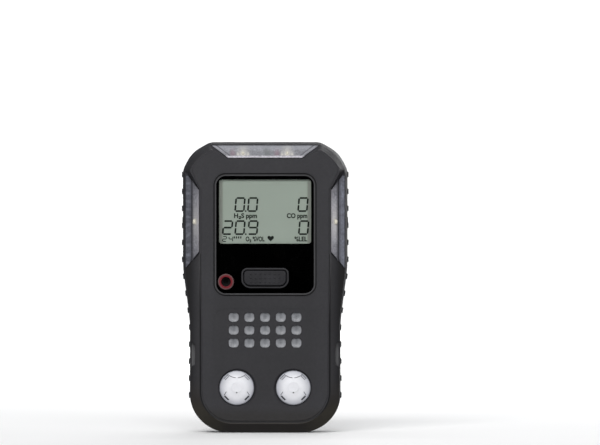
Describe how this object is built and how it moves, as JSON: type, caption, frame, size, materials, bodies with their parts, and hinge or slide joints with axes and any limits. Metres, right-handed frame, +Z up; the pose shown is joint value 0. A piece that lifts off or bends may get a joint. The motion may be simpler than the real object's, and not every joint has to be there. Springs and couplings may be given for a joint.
{
  "type": "portable gas detector",
  "caption": "Clip-on portable gas detector: dark two-part case with light bars, display window, one button, inlet grille, two round sensor covers and a sprung alligator clip.",
  "frame": {"origin": "middle of the flat bottom edge, on the plane of symmetry, where the detector stands upright", "axes": "+Z up along the case to the top light bar, display faces -Y, the clip is on +Y, +X is to the right as the display is read"},
  "size_m": [0.069, 0.0413, 0.12],
  "materials": {
    "shell_charcoal": "fine moulded grain",
    "grip_rubber": "matte",
    "light_bar_clear": "translucent",
    "led_resin": "clear resin",
    "window_clear": "polished",
    "mask_ink": "black print",
    "display_glass": "grey-green liquid crystal",
    "light_guide": "diffuse white",
    "carrier_plastic": "moulded",
    "contact_elastomer": "matte",
    "button_rubber": "satin",
    "switch_plastic": "moulded",
    "sounder_plastic": "moulded",
    "boot_silicone": "satin",
    "filter_grey": "fine mesh",
    "cover_white": "satin",
    "foam_black": "foam",
    "sensor_body": "moulded",
    "contact_metal": "gold flash",
    "board_green": "solder mask",
    "chip_black": "moulded",
    "flex_amber": "film",
    "cell_sleeve": "wrapped can",
    "nickel": "plain",
    "motor_can": "plain",
    "weight_metal": "sintered",
    "screw_steel": "zinc",
    "insert_brass": "knurled",
    "catch_steel": "satin",
    "label_film": "satin film",
    "ir_plastic": "dark tinted",
    "clip_steel": "brushed stainless"
  },
  "bodies": {
    "case": {"front_shell": "shell_charcoal", "rear_shell": "shell_charcoal", "left_grip": "grip_rubber", "right_grip": "grip_rubber", "case_seal": "foam_black", "right_light_bar": "light_bar_clear", "left_light_bar": "light_bar_clear", "top_light_bar": "light_bar_clear", "alarm_leds": "led_resin", "window_lens": "window_clear", "window_mask": "mask_ink", "lcd_glass": "display_glass", "lcd_backlight": "light_guide", "lcd_frame": "carrier_plastic", "lcd_contact_strips": "contact_elastomer", "switch_body": "switch_plastic", "buzzer": "sounder_plastic", "sounder_boot": "boot_silicone", "grille_filter": "filter_grey", "grille_gasket": "foam_black", "left_sensor_filter": "cover_white", "right_sensor_filter": "cover_white", "left_sensor_gasket": "foam_black", "right_sensor_gasket": "foam_black", "left_gas_sensor": "sensor_body", "right_gas_sensor": "sensor_body", "centre_gas_sensor": "sensor_body", "sensor_pins": "contact_metal", "sensor_sockets": "contact_metal", "display_board": "board_green", "sensor_board": "board_green", "board_chips": "chip_black", "board_flex": "flex_amber", "board_screws": "screw_steel", "upper_battery_cell": "cell_sleeve", "lower_battery_cell": "cell_sleeve", "battery_tray": "carrier_plastic", "battery_tabs": "nickel", "battery_pad": "foam_black", "vibration_motor": "motor_can", "motor_cradle": "foam_black", "case_screws": "screw_steel", "threaded_inserts": "insert_brass", "right_dock_catch": "catch_steel", "left_dock_catch": "catch_steel", "rear_label": "label_film", "ir_window": "ir_plastic", "ir_transceiver": "chip_black", "clip_base": "clip_steel", "clip_pin": "clip_steel", "clip_spring": "clip_steel", "clip_screws": "screw_steel"},
    "button": {"button_cap": "button_rubber"},
    "plunger": {"switch_plunger": "carrier_plastic"},
    "motor_rotor": {"motor_shaft": "screw_steel", "eccentric_weight": "weight_metal"},
    "jaw": {"clip_jaw": "clip_steel"}
  },
  "joints": [
    {"name": "button_press", "type": "slide", "parent": "case", "child": "button", "axis": [0, 1, 0], "range_m": [0, 0.0006], "stiffness_N_per_m": 2000},
    {"name": "switch_press", "type": "slide", "parent": "case", "child": "plunger", "axis": [0, 1, 0], "range_m": [0, 0.0006]},
    {"name": "motor_spin", "type": "hinge", "parent": "case", "child": "motor_rotor", "pos_m": [0, -0.0016, 0.0985], "axis": [1, 0, 0], "continuous": true},
    {"name": "clip_open", "type": "hinge", "parent": "case", "child": "jaw", "pos_m": [0, 0.0187, 0.09], "axis": [1, 0, 0], "range_deg": [0, 20], "stiffness_Nm_per_rad": 0.4, "springref_deg": -28.65, "deforming": ["clip_spring"]}
  ],
  "couplings": [
    {"joint": "switch_press", "follows": "button_press", "ratio": 1}
  ]
}
